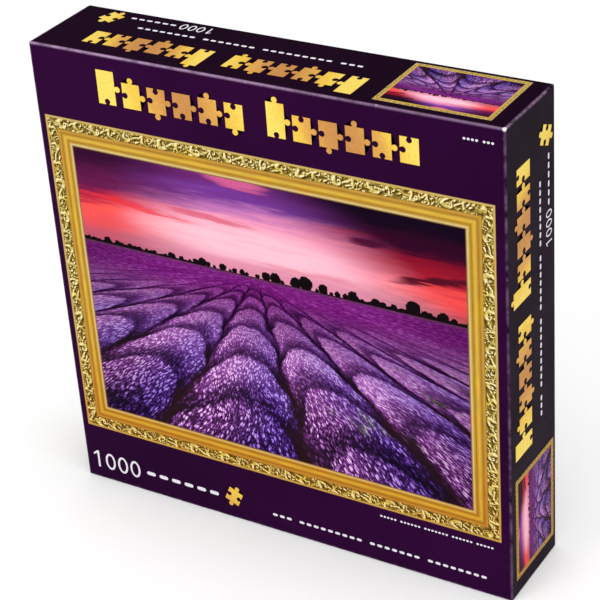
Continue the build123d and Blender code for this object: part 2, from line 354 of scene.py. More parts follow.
def field_colour(across, down):
    """Lavender rows that meet at the horizon: domed bushes, dark gaps, and flower spikes."""
    near = (down - HORIZON).at_least(0.0015)
    log_near = near.math("LOGARITHM", math.e)
    row_place = (across - MEETING) / (near * ROW_SPREAD) + ROW_SHIFT
    wobble = noise(point(row_place * 1.3, log_near * 2.2), 1.0, 3.0)
    row_place = row_place + (wobble - 0.5) * 0.34
    row = row_place.math("ROUND")
    side = row_place - row
    row_dice = dice_of(row + 3.7)
    row_width = near * ROW_SPREAD / (row * row * ROW_SLANT + 1.0).power(0.5)
    clear = row_width.smooth(0.004, 0.034)
    arch = side * side * 0.55 + (side * side) * (side * side) * 4.2
    step = (log_near - arch) / BUSH_STEP + row_dice + (wobble - 0.5) * 0.5
    bush = step.math("FLOOR")
    down_bush = step - bush
    bush_dice = dice_of(bush * 7.31 + row * 3.17)
    dome = down_bush.smooth(0.0, 0.12, 0.40, 1.0) * down_bush.smooth(0.45, 1.0, 1.0, 0.34)
    dome = clear * dome + (1.0 - clear) * 0.85
    gap_edge = abs(side) + (wobble - 0.5) * 0.12 + down_bush.smooth(0.6, 1.0, 0.0, 0.05) * clear
    open_row = gap_edge.smooth(0.36, 0.53, 1.0, 0.0)
    gap_floor = clear.smooth(0.0, 1.0, 0.72, 0.04)
    shade = dome * (open_row * (1.0 - gap_floor) + gap_floor)
    mottle = noise(point(across * 70.0, down * 190.0), 1.0, 3.0, 0.6).smooth(0.3, 0.7, 0.82, 1.22)
    shade = shade * (1.0 + bush_dice * 0.26) * mottle

    flower_place = point(row_place * 2.0, log_near + bush * 5.0, row * 2.0)
    away, tone = cells(flower_place, 27.0)
    fine_away, fine_tone = cells(flower_place, 61.0)
    blossom = away.smooth(0.18, 0.58, 1.0, 0.0) * (parts_of(tone)[0] * 0.95 + 0.30)
    petals = fine_away.smooth(0.1, 0.60, 1.0, 0.0) * parts_of(fine_tone)[1]
    texture = blossom * 0.72 + petals * 0.50
    texture = clear * texture + (1.0 - clear) * (0.42 + (noise(flower_place, 26.0, 3.0) - 0.5) * 0.5)
    depth = near.smooth(0.15, 0.60)
    light = shade * ((0.42 - depth * 0.30) + texture * (0.86 + depth * 0.22))
    colour = light.ramp([
        (0.0, srgb(12, 5, 14)),
        (0.12, srgb(44, 22, 52)),
        (0.30, srgb(98, 52, 114)),
        (0.50, srgb(146, 92, 166)),
        (0.70, srgb(190, 140, 206)),
        (0.95, srgb(236, 208, 240)),
    ], "LINEAR")
    flank = side.smooth(-0.26, 0.36)
    colour = mix(flank * clear * (0.35 + depth * 0.35), colour, srgb(124, 104, 240), "MULTIPLY")
    colour = mix((1.0 - flank) * dome * 0.30, colour, srgb(246, 150, 216), "SOFT_LIGHT")
    greener = across.smooth(0.5, 0.8, 0.15, 0.85)
    leaves = noise(point(row_place, log_near, 9.0), 3.1, 3.0).smooth(0.60, 0.72) * greener
    colour = mix(leaves * clear * open_row * 0.5, colour, srgb(112, 122, 70), "COLOR")
    earth = (1.0 - open_row) * near.smooth(0.25, 0.45)
    colour = mix(earth * 0.5, colour, srgb(52, 26, 26))
    far = near.smooth(0.05, 0.34, 1.0, 0.0)
    far_tone = (light * 0.85).ramp([
        (0.0, srgb(24, 2, 28)),
        (0.25, srgb(60, 8, 66)),
        (0.50, srgb(96, 14, 96)),
        (0.72, srgb(128, 34, 130)),
        (0.95, srgb(172, 92, 178)),
    ], "LINEAR")
    colour = mix(far, colour, far_tone)
    dusk = abs(across - 0.5).smooth(0.22, 0.52, 0.0, 0.42) * near.smooth(0.0, 0.25, 1.0, 0.6)
    colour = mix(dusk, colour, srgb(70, 24, 76), "MULTIPLY")
    return mix(near.smooth(0.002, 0.016, 0.6, 0.0), colour, srgb(84, 60, 58))


def make_picture_group():
    tree, (across, down) = new_group("lavender field", ("Across", "Down"))
    colour = mix((down - HORIZON).smooth(-0.001, 0.001), sky_colour(across, down), field_colour(across, down))
    colour = mix(tree_cover(across, down), colour, srgb(16, 8, 12))
    return finish_group(tree, colour)


# ---------------------------------------------------------------- the printed gilt frame
SCROLL_PITCH = 9.6 * MM  # one pair of scrolls along the frame
SCROLL_START = 0.5  # keeps the pattern's place positive along a whole side
SCROLL_STAGGER = 0.1 * MM  # so that no two sides carry the same scrolls
ORNAMENT_SHARE = 0.44  # the carved band's share of the frame's width, from outside


def make_scroll_group():
    """The height of the carved scrolls, along the frame in pitches and across it in bands."""
    tree, (along, over) = new_group("scrolls", ("Along", "Over"), "NodeSocketFloat")
    sway = noise(point(along * 0.9, over * 0.8), 1.0, 2.0) - 0.5
    along = along + sway * 0.9
    turn = along.math("FLOOR")
    flip = (turn.math("MODULO", 2.0) * 2.0) - 1.0
    local = (along - turn - 0.5) * 2.0
    lift = (over - 0.5 + sway * 0.3) * 1.25 * flip
    wave = (along * math.pi).math("SINE") * 0.28
    x = local * 1.05 - 0.12
    y = lift + 0.10
    radius = (x * x + y * y).power(0.5) + 0.02
    angle = y.math("ARCTAN2", x)
    curl = (angle + radius.math("LOGARITHM", math.e) * 3.1).math("SINE")
    curl = curl.smooth(-0.2, 0.9) * radius.smooth(0.62, 0.92, 1.0, 0.0) * radius.smooth(0.03, 0.14)
    stem_line = abs(over - 0.5 - wave).smooth(0.03, 0.15, 1.0, 0.0)
    leaf_place = point(along * 3.6 + over * 1.8 * flip, over * 2.3, turn)
    leaf_away, leaf_tone = cells(leaf_place, 1.5)
    leaf = leaf_away.smooth(0.10, 0.58, 1.0, 0.0) * (parts_of(leaf_tone)[0] * 0.75 + 0.35)
    bead_away, _ = cells(point(along * 7.0, over * 3.0, 5.0), 1.0)
    bead = bead_away.smooth(0.12, 0.42, 0.55, 0.0)
    height = (curl * 0.9).at_least(stem_line * 0.55).at_least(leaf).at_least(bead)
    return finish_group(tree, height + (noise(point(along * 9.0, over * 5.0), 1.0, 3.0) - 0.5) * 0.45)


def gilt_colour(along, over, pitch, band):
    """The printed frame: a bright lip, a carved scroll band, then smooth mouldings."""
    share = over / band
    strip = share / ORNAMENT_SHARE
    steps = along / pitch
    scrolls = GROUPS["scrolls"]
    height = use_group(scrolls, steps, strip)
    lit = use_group(scrolls, steps - 0.05, strip - 0.08)
    relief = (height - lit) * 0.95 + height * 0.50 + 0.22
    carved = relief.ramp([
        (0.0, srgb(78, 56, 18)),
        (0.20, srgb(118, 94, 36)),
        (0.45, srgb(164, 140, 62)),
        (0.68, srgb(204, 184, 100)),
        (0.95, srgb(246, 234, 186)),
    ], "LINEAR")
    tint = noise(point(along / MM * 0.22, over / MM * 0.3, 8.0), 1.0, 2.0)
    carved = mix(tint.smooth(0.52, 0.66) * 0.28, carved, srgb(132, 150, 70), "SOFT_LIGHT")
    moulding = share.ramp([
        (0.0, srgb(170, 132, 62)),
        (0.035, srgb(214, 190, 122)),
        (0.075, srgb(186, 156, 78)),
        (0.44, srgb(150, 110, 42)),
        (0.485, srgb(204, 158, 70)),
        (0.53, srgb(194, 146, 60)),
        (0.585, srgb(168, 122, 46)),
        (0.64, srgb(202, 158, 62)),
        (0.70, srgb(224, 188, 78)),
        (0.76, srgb(210, 166, 58)),
        (0.81, srgb(170, 126, 44)),
        (0.87, srgb(194, 154, 64)),
        (0.93, srgb(228, 208, 148)),
        (0.985, srgb(126, 92, 46)),
    ], "LINEAR")
    streak = noise(point(along / MM * 0.10, over / MM * 2.6), 1.0, 4.0)
    moulding = mix(0.6, moulding, streak.ramp([
        (0.3, srgb(196, 184, 150)),
        (0.5, srgb(240, 238, 228)),
        (0.72, srgb(255, 246, 214)),
    ], "LINEAR"), "MULTIPLY")
    patch = noise(point(along / MM * 0.035, over / MM * 0.06, 3.0), 1.0, 2.0)
    on_band = share.smooth(0.07, 0.10) * share.smooth(0.43, 0.46, 1.0, 0.0)
    colour = mix(on_band, moulding, carved)
    colour = mix(patch.smooth(0.55, 0.75) * 0.40, colour, srgb(240, 158, 70), "SOFT_LIGHT")
    return mix(patch.smooth(0.28, 0.45, 0.4, 0.0), colour, srgb(236, 226, 96), "SOFT_LIGHT")


GROUPS = {"picture": make_picture_group(), "scrolls": make_scroll_group()}


# ---------------------------------------------------------------- materials
def picture_material(name):
    """The picture, laid over a sheet's whole UV square."""
    material, tree, surface = new_material(name)
    across, up, _ = parts_of(sheet_place(tree))
    colour = use_group(GROUPS["picture"], across, 1.0 - up)
    feed(tree, surface.inputs["Base Color"], colour)
    laminate(tree, surface, object_place(tree), 0.30)
    return material


def gilt_material(name, pitch, band):
    """The gilt frame, with the UV map holding metres along and over the band."""
    material, tree, surface = new_material(name)
    along, over, _ = parts_of(sheet_place(tree))
    colour = gilt_colour(along, over, pitch, band)
    place = object_place(tree)
    low_down = parts_of(place)[2].smooth(HEIGHT * 0.10, HEIGHT * 0.45, 0.55, 0.0)
    colour = mix(low_down, colour, srgb(184, 132, 62), "SOFT_LIGHT")
    feed(tree, surface.inputs["Base Color"], colour)
    laminate(tree, surface, place, 0.30)
    return material


def wrap_material(name, low, high, front_base, shaded_side_base, top_highlight_and_corner_wear):
    """Deep purple laminated print, with a darker copy of the purple on the faces other than the front as
    painted shade, a pale painted highlight where the board folds over the box's edges, white flecks of wear
    along the folds and a white worn spot at the top front right corner.
    """
    material, tree, surface = new_material(name)
    place = object_place(tree)
    x, y, z = parts_of(place)
    geometry = tree.nodes.new("ShaderNodeNewGeometry")
    # The front keeps its own purple. Every other face takes a darker copy of it: painted shade.
    unshaded_front = (parts_of(Signal(tree, geometry.outputs["Normal"]))[1] * -1.0).smooth(0.5, 0.9)
    base = mix(unshaded_front, shaded_side_base, front_base)
    shade = noise(place, 14.0, 3.0) * 0.7 + noise(place, 1300.0, 2.0) * 0.3
    colour = mix(1.0, base, shade.tones(srgb(206, 206, 206), srgb(255, 255, 255)), "MULTIPLY")

    def close(distance):
        return distance.smooth(0.0, EDGE_REACH, 1.0, 0.0)

    sides = close((x - low.x).at_most(high.x - x))
    front_edge = close(y - low.y)
    # Noise that breaks up the painted edge highlight along the folds.
    edge_noise = noise(point(x * 60.0, y * 60.0, z * 60.0), 2.0, 5.0, 0.65)
    top_fold = front_edge * close(high.z - z) * edge_noise.smooth(0.30, 0.60, 0.45, 1.0)
    top_fold = top_fold * x.smooth(-0.1, 0.12, 1.0, 0.5)
    corner_fold = sides * (front_edge * 0.25 + close(high.z - z) * 0.55) * edge_noise.smooth(0.35, 0.62)
    low_fold = front_edge * close(z - low.z) * edge_noise.smooth(0.42, 0.66) * 0.4
    # A pale lilac band along the folds is a painted highlight, strongest on the top front edge.
    edge_highlight = (top_fold * top_highlight_and_corner_wear).at_least(corner_fold).at_least(low_fold)
    colour = mix(edge_highlight, colour, srgb(196, 158, 198))
    flecks = noise(place, 420.0, 3.0).smooth(0.66, 0.74) * (top_fold + corner_fold * 0.7)
    colour = mix(flecks, colour, srgb(232, 226, 232))
    if top_highlight_and_corner_wear > 0:
        corner = tree.nodes.new("ShaderNodeVectorMath")
        corner.operation = "LENGTH"
        feed(tree, corner.inputs[0], point(x - high.x, y - low.y, z - high.z))
        away = Signal(tree, corner.outputs["Value"]) + (noise(place, 700.0, 3.0) - 0.5) * 1.6 * MM
        colour = mix(away.smooth(1.2 * MM, 1.7 * MM, 1.0, 0.0), colour, srgb(240, 236, 232))
    feed(tree, surface.inputs["Base Color"], colour)
    laminate(tree, surface, place, 0.34)
    return material


def board_material(name, base, speck):
    """Recycled greyboard: fibres and flecks on a matt grey."""
    material, tree, surface = new_material(name)
    place = object_place(tree)
    fibre = noise(place, 900.0, 5.0, 0.7, 0.6)
    blotch = noise(place, 55.0, 4.0)
    colour = (fibre * 0.55 + blotch * 0.45).ramp([
        (0.34, tuple(channel * 0.66 for channel in base[:3]) + (1.0,)),
        (0.5, base),
        (0.66, tuple(min(1.0, channel * 1.28) for channel in base[:3]) + (1.0,)),
    ])
    away, _ = cells(place, 520.0)
    colour = mix(away.smooth(0.13, 0.05), colour, speck)
    feed(tree, surface.inputs["Base Color"], colour)
    surface.inputs["Roughness"].default_value = 0.88
    surface.inputs["Specular IOR Level"].default_value = 0.2
    bump(surface, tree, fibre, 0.35, 0.0004)
    return material


def foil_material(name, first, last):
    """Gold print that drifts from bright yellow to amber and back along the title, twice."""
    material, tree, surface = new_material(name)
    along, down, _ = parts_of(sheet_place(tree))
    share = (along - first) / (last - first) - down * 2.0
    swing = (share * (2.05 * 2.0 * math.pi)).math("COSINE") * 0.5 + 0.5
    colour = swing.ramp([
        (0.0, srgb(206, 146, 82)),
        (0.35, srgb(226, 170, 86)),
        (0.65, srgb(248, 206, 84)),
        (1.0, srgb(255, 226, 108)),
    ])
    place = object_place(tree)
    speckle = noise(place, 1500.0, 2.0).tones(srgb(196, 178, 160), srgb(255, 255, 255))
    colour = mix(0.3, colour, speckle, "MULTIPLY")
    feed(tree, surface.inputs["Base Color"], colour)
    surface.inputs["Metallic"].default_value = 0.15
    laminate(tree, surface, place, 0.28)
    return material


def ink_material(name, colour):
    """One printed ink with a faint dot grain."""
    material, tree, surface = new_material(name)
    place = object_place(tree)
    grain = noise(place, 1700.0, 2.0)
    tone = mix(0.5, colour, grain.tones(srgb(214, 208, 216), srgb(255, 255, 255)), "MULTIPLY")
    feed(tree, surface.inputs["Base Color"], tone)
    laminate(tree, surface, place, 0.30)
    return material


# ---------------------------------------------------------------- flat printed pieces
class Face:
    """A flat side of the box, with art placed by distances across it and down it."""

    def __init__(self, origin, across, down, outward):
        self.origin = Vector(origin)
        self.across = Vector(across)
        self.down = Vector(down)
        self.outward = Vector(outward)

    def at(self, across, down, lift):
        return self.origin + self.across * across + self.down * down + self.outward * lift


def add_object(name, mesh, body, material):
    piece = bpy.data.objects.new(name, mesh)
    bpy.context.scene.collection.objects.link(piece)
    mesh.materials.append(material)
    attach(piece, body)
    return piece


def build_sheet(name, face, outlines, body, material, lift=INK_LIFT, uv_of=None):
    """Closed thin sheets from outlines of (across, down) points, on one face."""
    work = bmesh.new()
    uv_layer = work.loops.layers.uv.new("print")
    for number, outline in enumerate(outlines):
        back = [work.verts.new(face.at(a, d, lift)) for a, d in outline]
        front = [work.verts.new(face.at(a, d, lift + SHEET)) for a, d in outline]
        count = len(outline)
        made = [work.faces.new(front), work.faces.new(back[::-1])]
        places = [list(outline), list(outline)[::-1]]
        for i in range(count):
            j = (i + 1) % count
            made.append(work.faces.new((back[i], back[j], front[j], front[i])))
            places.append([outline[i], outline[j], outline[j], outline[i]])
        for polygon, spots in zip(made, places):
            for loop, (a, d) in zip(polygon.loops, spots):
                loop[uv_layer].uv = uv_of(number, a, d) if uv_of else (a, d)
    bmesh.ops.recalc_face_normals(work, faces=work.faces)
    mesh = bpy.data.meshes.new(name)
    work.to_mesh(mesh)
    work.free()
    return add_object(name, mesh, body, material)


def rectangle(left, top, right, bottom):
    return [(left, top), (right, top), (right, bottom), (left, bottom)]


def framed_picture(prefix, face, left, top, right, bottom, band, materials):
    """A picture in its gilt frame, whose outer edges lie at four distances on the face."""
    inner = (left + band, top + band, right - band, bottom - band)
    outside = rectangle(left, top, right, bottom)
    inside = rectangle(*inner)
    sides = []
    for i in range(4):
        j = (i + 1) % 4
        sides.append([outside[i], outside[j], inside[j], inside[i]])

    def frame_uv(number, a, d):
        if number in (0, 2):
            along = a - (left + right) / 2
            over = d - top if number == 0 else bottom - d
        else:
            along = d - (top + bottom) / 2
            over = right - a if number == 1 else a - left
        return along + SCROLL_START + number * SCROLL_STAGGER, over

    def picture_uv(_, a, d):
        return (a - inner[0]) / (inner[2] - inner[0]), 1 - (d - inner[1]) / (inner[3] - inner[1])

    build_sheet(prefix + "_frame_print", face, sides, "lid", materials["gilt"], uv_of=frame_uv)
    build_sheet(
        prefix + "_picture_print", face, [inside], "lid", materials["picture"], uv_of=picture_uv
    )


# ---------------------------------------------------------------- jigsaw shapes and numerals
def arc_points(centre, radius, first, last, steps):
    points = []
    for i in range(steps + 1):
        angle = math.radians(first + (last - first) * i / steps)
        points.append((centre[0] + radius * math.cos(angle), centre[1] + radius * math.sin(angle)))
    return points


# A knob's head has a radius that is a share of its side. Its reach and neck are shares of that radius.
KNOB_RADIUS = 0.155
KNOB_REACH = 0.95
KNOB_NECK = 0.62
KNOB_SIDE_LIMIT = 10.0 * MM  # a longer side gets no larger knob


def knob_side(start, end, knob):
    """Points from start up to, not including, end, with a knob out (1), in (-1) or none (0)."""
    if knob == 0:
        return [start]
    run = (end[0] - start[0], end[1] - start[1])
    length = math.hypot(*run)
    radius = KNOB_RADIUS * min(length, KNOB_SIDE_LIMIT)
    neck = radius * KNOB_NECK
    head = arc_points((length / 2, radius * KNOB_REACH), radius, 222, -42, 14)
    local = [(0.0, 0.0), (length / 2 - neck, 0.0), *head, (length / 2 + neck, 0.0)]
    ux, uy = run[0] / length, run[1] / length
    return [(start[0] + ux * x + uy * y * knob, start[1] + uy * x - ux * y * knob) for x, y in local]


def jigsaw_shape(left, top, width, height, knobs):
    """The outline of one jigsaw piece, with knobs for its top, right, bottom and left."""
    corners = rectangle(left, top, left + width, top + height)
    outline = []
    for i, knob in enumerate(knobs):
        outline += knob_side(corners[i], corners[(i + 1) % 4], knob)
    return outline


def grown(outline, by):
    """The outline moved outwards by a distance."""
    count = len(outline)
    area = sum(
        outline[i][0] * outline[(i + 1) % count][1] - outline[(i + 1) % count][0] * outline[i][1]
        for i in range(count)
    )
    way = 1 if area > 0 else -1
    result = []
    for i in range(count):
        before, here, after = outline[i - 1], outline[i], outline[(i + 1) % count]
        dx, dy = after[0] - before[0], after[1] - before[1]
        length = math.hypot(dx, dy) or 1.0
        result.append((here[0] + way * dy / length * by, here[1] - way * dx / length * by))
    return result


# Knobs of each title shape, so that no two neighbours look alike: top, right, bottom, left.
TITLE_FIRST = [(0, 1, -1, 0), (1, 1, 0, -1), (-1, 1, 1, -1), (0, 1, -1, -1), (1, 1, -1, -1), (-1, 0, 1, -1)]
TITLE_SECOND = [(1, 1, -1, 0), (-1, 1, 0, -1), (0, 1, 1, -1), (1, 1, 0, -1), (0, 1, -1, -1), (-1, 0, 0, -1)]


FIRST_GROUP_SHARE = 0.487  # of the title's length
GROUP_GAP_SHARE = 0.048
LOW_SHAPE = 0.74  # the height of every shape but the first of a group, as a share of the title's
SHAPE_MARGIN = 0.09  # before each shape, as a share of the pitch
SHAPE_WIDTH = 0.70


def title_shapes(left, top, right, bottom):
    """Two groups of jigsaw shapes that fill the title's band, the first of each group taller."""
    length = right - left
    height = bottom - top
    groups = ((left, left + length * FIRST_GROUP_SHARE, TITLE_FIRST),
              (left + length * (FIRST_GROUP_SHARE + GROUP_GAP_SHARE), right, TITLE_SECOND))
    shapes = []
    for start, stop, knobs in groups:
        pitch = (stop - start) / len(knobs)
        for i, sides in enumerate(knobs):
            tall = height * (1.0 if i == 0 else LOW_SHAPE)
            shape_left = start + i * pitch + pitch * SHAPE_MARGIN
            shapes.append(jigsaw_shape(shape_left, bottom - tall, pitch * SHAPE_WIDTH, tall, sides))
    return shapes


def dashes(left, top, bottom, words, pitch):
    """Plain rounded dashes, one for each letter that a line of words would have."""
    outlines = []
    start = left
    radius = (bottom - top) / 2
    middle = (top + bottom) / 2
    for letters in words:
        for _ in range(letters):
            stop = start + pitch * 0.70
            outline = arc_points((start + radius, middle), radius, 90, 270, 6)
            outline += arc_points((stop - radius, middle), radius, -90, 90, 6)
            outlines.append(outline)
            start += pitch
        start += pitch * 0.8
    return outlines


def numeral_outlines(left, top, bottom, digits, pitch):
    """Upright digits 1 and 0 as closed outlines. A ring is two half rings, so it has no hole."""
    height = bottom - top
    stroke = height * 0.12
    outlines = []
    for i, digit in enumerate(digits):
        x = left + i * pitch
        if digit == 1:
            stem = x + pitch * 0.42
            outlines.append(rectangle(stem, top, stem + stroke, bottom))
            outlines.append([(stem, top), (stem, top + stroke * 1.3), (x + pitch * 0.12, top + height * 0.3),
                             (x + pitch * 0.12, top + height * 0.2)])
            continue
        centre = (x + pitch * 0.46, (top + bottom) / 2)
        wide, tall = pitch * 0.40, height / 2
        for first, last in ((-90, 90), (90, 270)):
            outer, inner = [], []
            for step in range(13):
                angle = math.radians(first + (last - first) * step / 12)
                outer.append((centre[0] + wide * math.cos(angle), centre[1] + tall * math.sin(angle)))
                inner.append((centre[0] + (wide - stroke) * math.cos(angle),
                              centre[1] + (tall - stroke) * math.sin(angle)))
            outlines.append(outer + inner[::-1])
    return outlines


# ---------------------------------------------------------------- the lid's print
PURPLE_FRONT = srgb(46, 6, 52)
# The same purple paper, darker for the faces away from the front: painted shade.
PURPLE_SHADED = srgb(28, 3, 28)
WHITE_INK = srgb(240, 236, 244)
OUTLINE_INK = srgb(62, 26, 18)
OUTLINE_REACH = 0.35 * MM
ICON_KNOBS = (1, -1, 1, -1)
ICON_TURN = 24  # degrees
LONG_LINE = (3, 9, 7, 8)  # dashes in each group of the longest line
COUNT = (1, 0, 0, 0)  # the number of pieces, as digits

front = Face((BOX_LOW.x, BOX_LOW.y, BOX_HIGH.z), (1, 0, 0), (0, 0, -1), (0, -1, 0))
strips = {
    "top": Face((BOX_HIGH.x, BOX_LOW.y, BOX_HIGH.z), (-1, 0, 0), (0, 1, 0), (0, 0, 1)),
    "right": Face((BOX_HIGH.x, BOX_LOW.y, BOX_LOW.z), (0, 0, 1), (0, 1, 0), (1, 0, 0)),
    "left": Face((BOX_LOW.x, BOX_LOW.y, BOX_HIGH.z), (0, 0, -1), (0, 1, 0), (-1, 0, 0)),
    "bottom": Face((BOX_LOW.x, BOX_LOW.y, BOX_LOW.z), (1, 0, 0), (0, 1, 0), (0, 0, -1)),
}
TITLE_LEFT, TITLE_RIGHT = 37.5 * MM, 215.0 * MM
TITLE_TOP, TITLE_BOTTOM = 8.0 * MM, 25.6 * MM
STRIP_TITLE_LEFT, STRIP_TITLE_RIGHT = 77.5 * MM, 232.0 * MM
STRIP_TITLE_TOP, STRIP_TITLE_BOTTOM = 5.6 * MM, 23.6 * MM

lid_materials = {
    "gilt": gilt_material("printed gilt frame", SCROLL_PITCH, FRAME_BAND),
    "side gilt": gilt_material("printed gilt frame, small", SCROLL_PITCH * 0.3, SIDE_FRAME_BAND),
    "picture": picture_material("printed lavender field"),
    "ink": ink_material("white ink", WHITE_INK),
    "outline": ink_material("dark outline ink", OUTLINE_INK),
    "front gold": foil_material("gold print, front", TITLE_LEFT, TITLE_RIGHT),
    "strip gold": foil_material("gold print, sides", STRIP_TITLE_LEFT, STRIP_TITLE_RIGHT),
    "icon gold": foil_material("gold print, icon", -0.09, 0.41),
}


def outlined_gold(name, face, shapes, gold):
    """Gold shapes over a slightly larger dark outline."""
    edges = [grown(shape, OUTLINE_REACH) for shape in shapes]
    build_sheet(name + "_outline_print", face, edges, "lid", lid_materials["outline"])
    top_lift = INK_LIFT * 2 + SHEET
    build_sheet(name + "_gold_print", face, shapes, "lid", lid_materials[gold], lift=top_lift)


def icon_shape(left, top, size):
    """A square jigsaw piece, turned about its own middle."""
    outline = jigsaw_shape(left, top, size, size, ICON_KNOBS)
    middle_a = sum(a for a, _ in outline) / len(outline)
    middle_d = sum(d for _, d in outline) / len(outline)
    cosine, sine = math.cos(math.radians(ICON_TURN)), math.sin(math.radians(ICON_TURN))
    return [
        (middle_a + (a - middle_a) * cosine - (d - middle_d) * sine,
         middle_d + (a - middle_a) * sine + (d - middle_d) * cosine)
        for a, d in outline
    ]


def print_front():
    framed_picture("front", front, *FRONT_FRAME, FRAME_BAND, lid_materials)
    title = title_shapes(TITLE_LEFT, TITLE_TOP, TITLE_RIGHT, TITLE_BOTTOM)
    outlined_gold("front_title", front, title, "front gold")
    icon = icon_shape(90.5 * MM, 236.0 * MM, 8.4 * MM)
    outlined_gold("front_icon", front, [icon], "icon gold")
    numbers = numeral_outlines(3.9 * MM, 236.6 * MM, 247.0 * MM, COUNT, 8.1 * MM)
    words = dashes(39.5 * MM, 240.6 * MM, 242.8 * MM, (6,), 8.0 * MM)
    line = dashes(118.0 * MM, 243.4 * MM, 244.9 * MM, LONG_LINE, 4.2 * MM)
    name_line = dashes(182.0 * MM, 224.4 * MM, 225.5 * MM, (5, 6, 7, 6, 5), 1.95 * MM)
    corner_line = dashes(233.6 * MM, 7.4 * MM, 8.6 * MM, (4, 3), 2.0 * MM)
    build_sheet("front_white_print", front, numbers + words + line + name_line + corner_line, "lid",
                lid_materials["ink"])


def print_strip(side, face):
    small = {"gilt": lid_materials["side gilt"], "picture": lid_materials["picture"]}
    framed_picture(side, face, *STRIP_FRAME, SIDE_FRAME_BAND, small)
    title = title_shapes(STRIP_TITLE_LEFT, STRIP_TITLE_TOP, STRIP_TITLE_RIGHT, STRIP_TITLE_BOTTOM)
    outlined_gold(side + "_title", face, title, "strip gold")
    icon = icon_shape(228.5 * MM, 36.0 * MM, 9.4 * MM)
    outlined_gold(side + "_icon", face, [icon], "strip gold")
    line = dashes(88.0 * MM, 33.6 * MM, 35.1 * MM, LONG_LINE, 4.3 * MM)
    numbers = numeral_outlines(175.5 * MM, 40.6 * MM, 46.8 * MM, COUNT, 4.9 * MM)
    words = dashes(197.0 * MM, 42.9 * MM, 44.3 * MM, (6,), 4.6 * MM)
    build_sheet(side + "_white_print", face, line + numbers + words, "lid", lid_materials["ink"])


print_front()
for side, face in strips.items():
    print_strip(side, face)


# ---------------------------------------------------------------- finishes for the CAD parts
def dress(node, material):
    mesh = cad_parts[node].data
    mesh.materials.clear()
    mesh.materials.append(material)


tray_low, tray_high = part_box("tray_wrap")
GREYBOARD = srgb(168, 160, 150)
# The lid: the front purple, the painted-shade purple on the other faces, the painted top edge highlight at
# 0.9 and the corner wear.
dress("lid_wrap", wrap_material("lid wrap", BOX_LOW, BOX_HIGH, PURPLE_FRONT, PURPLE_SHADED, 0.9))
# The tray takes the darker painted-shade purple on every face, with neither the top edge highlight nor the
# corner wear.
dress("tray_wrap", wrap_material("tray wrap", tray_low, tray_high, PURPLE_SHADED, PURPLE_SHADED, 0.0))
board = board_material("greyboard", GREYBOARD, srgb(96, 88, 80))
kraft = board_material("kraft tape", srgb(176, 142, 104), srgb(120, 92, 64))
for node in ("lid_board", "tray_board"):
    dress(node, board)
for node in ("lid_corner_stays", "tray_corner_stays"):
    dress(node, kraft)


def make_chance_nodes():
    """Geometry nodes that join a mesh's own seams, then give each loose part one steady chance."""
    tree = bpy.data.node_groups.new("piece chance", "GeometryNodeTree")
    for way in ("INPUT", "OUTPUT"):
        tree.interface.new_socket("Geometry", in_out=way, socket_type="NodeSocketGeometry")
    entry = tree.nodes.new("NodeGroupInput")
    join = tree.nodes.new("GeometryNodeMergeByDistance")
    join.inputs["Distance"].default_value = 0.001 * MM
    island = tree.nodes.new("GeometryNodeInputMeshIsland")
    dice = tree.nodes.new("FunctionNodeRandomValue")
    store = tree.nodes.new("GeometryNodeStoreNamedAttribute")
    store.domain = "FACE"
    store.inputs["Name"].default_value = "chance"
    leave = tree.nodes.new("NodeGroupOutput")

    def enabled(sockets, name):
        return next(socket for socket in sockets if socket.name == name and socket.enabled)

    tree.links.new(entry.outputs[0], join.inputs["Geometry"])
    tree.links.new(join.outputs["Geometry"], store.inputs["Geometry"])
    tree.links.new(island.outputs["Island Index"], dice.inputs["ID"])
    tree.links.new(enabled(dice.outputs, "Value"), enabled(store.inputs, "Value"))
    tree.links.new(store.outputs["Geometry"], leave.inputs[0])
    return tree


def piece_material(name, first_down, last_down, first_across=0.08, last_across=0.92):
    """Die-cut board: on its broad faces each piece shows either a piece of the picture or the grey back, and
    its cut edge is grey.
    """
    material, tree, surface = new_material(name)
    place = object_place(tree)
    x, _, z = parts_of(place)
    geometry = tree.nodes.new("ShaderNodeNewGeometry")
    stored = tree.nodes.new("ShaderNodeAttribute")
    stored.attribute_name = "chance"
    chance = Signal(tree, stored.outputs["Fac"])
    flat_normal = Signal(tree, geometry.outputs["True Normal"])
    facing = abs(parts_of(flat_normal)[1])
    second = dice_of(chance * 91.7)
    third = dice_of(chance * 37.1 + 2.0)
    across = chance * (last_across - first_across) + first_across + x * 0.4
    down = second * (last_down - first_down) + first_down + (z - HEIGHT / 2) * 0.25
    picture = use_group(GROUPS["picture"], across, down)
    fibre = noise(place, 1100.0, 4.0, 0.7)
    grey = fibre.ramp([(0.35, srgb(128, 122, 116)), (0.65, srgb(176, 170, 162))])
    printed = third.smooth(0.36, 0.361)
    colour = mix(printed, grey, picture)
    colour = mix(facing.smooth(0.6, 0.8), grey, colour)
    feed(tree, surface.inputs["Base Color"], colour)
    feed(tree, surface.inputs["Roughness"], printed * -0.45 + 0.85)
    feed(tree, surface.inputs["Normal"], flat_normal)
    return material


PIECE_REGIONS = {
    "corner_pieces": (0.03, 0.97),
    "top_edge_pieces": (0.03, 0.06),
    "bottom_edge_pieces": (0.92, 0.97),
    "left_edge_pieces": (0.10, 0.90),
    "right_edge_pieces": (0.10, 0.90),
    "sky_pieces": (0.05, 0.28),
    "treeline_pieces": (0.30, 0.34),
    "far_field_pieces": (0.38, 0.46),
    "middle_field_pieces": (0.50, 0.66),
    "near_field_pieces": (0.70, 0.92),
}
chance_nodes = make_chance_nodes()
for node, (first, last) in PIECE_REGIONS.items():
    dress(node, piece_material(node.replace("_", " "), first, last))
    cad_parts[node].modifiers.new("chance", "NODES").node_group = chance_nodes


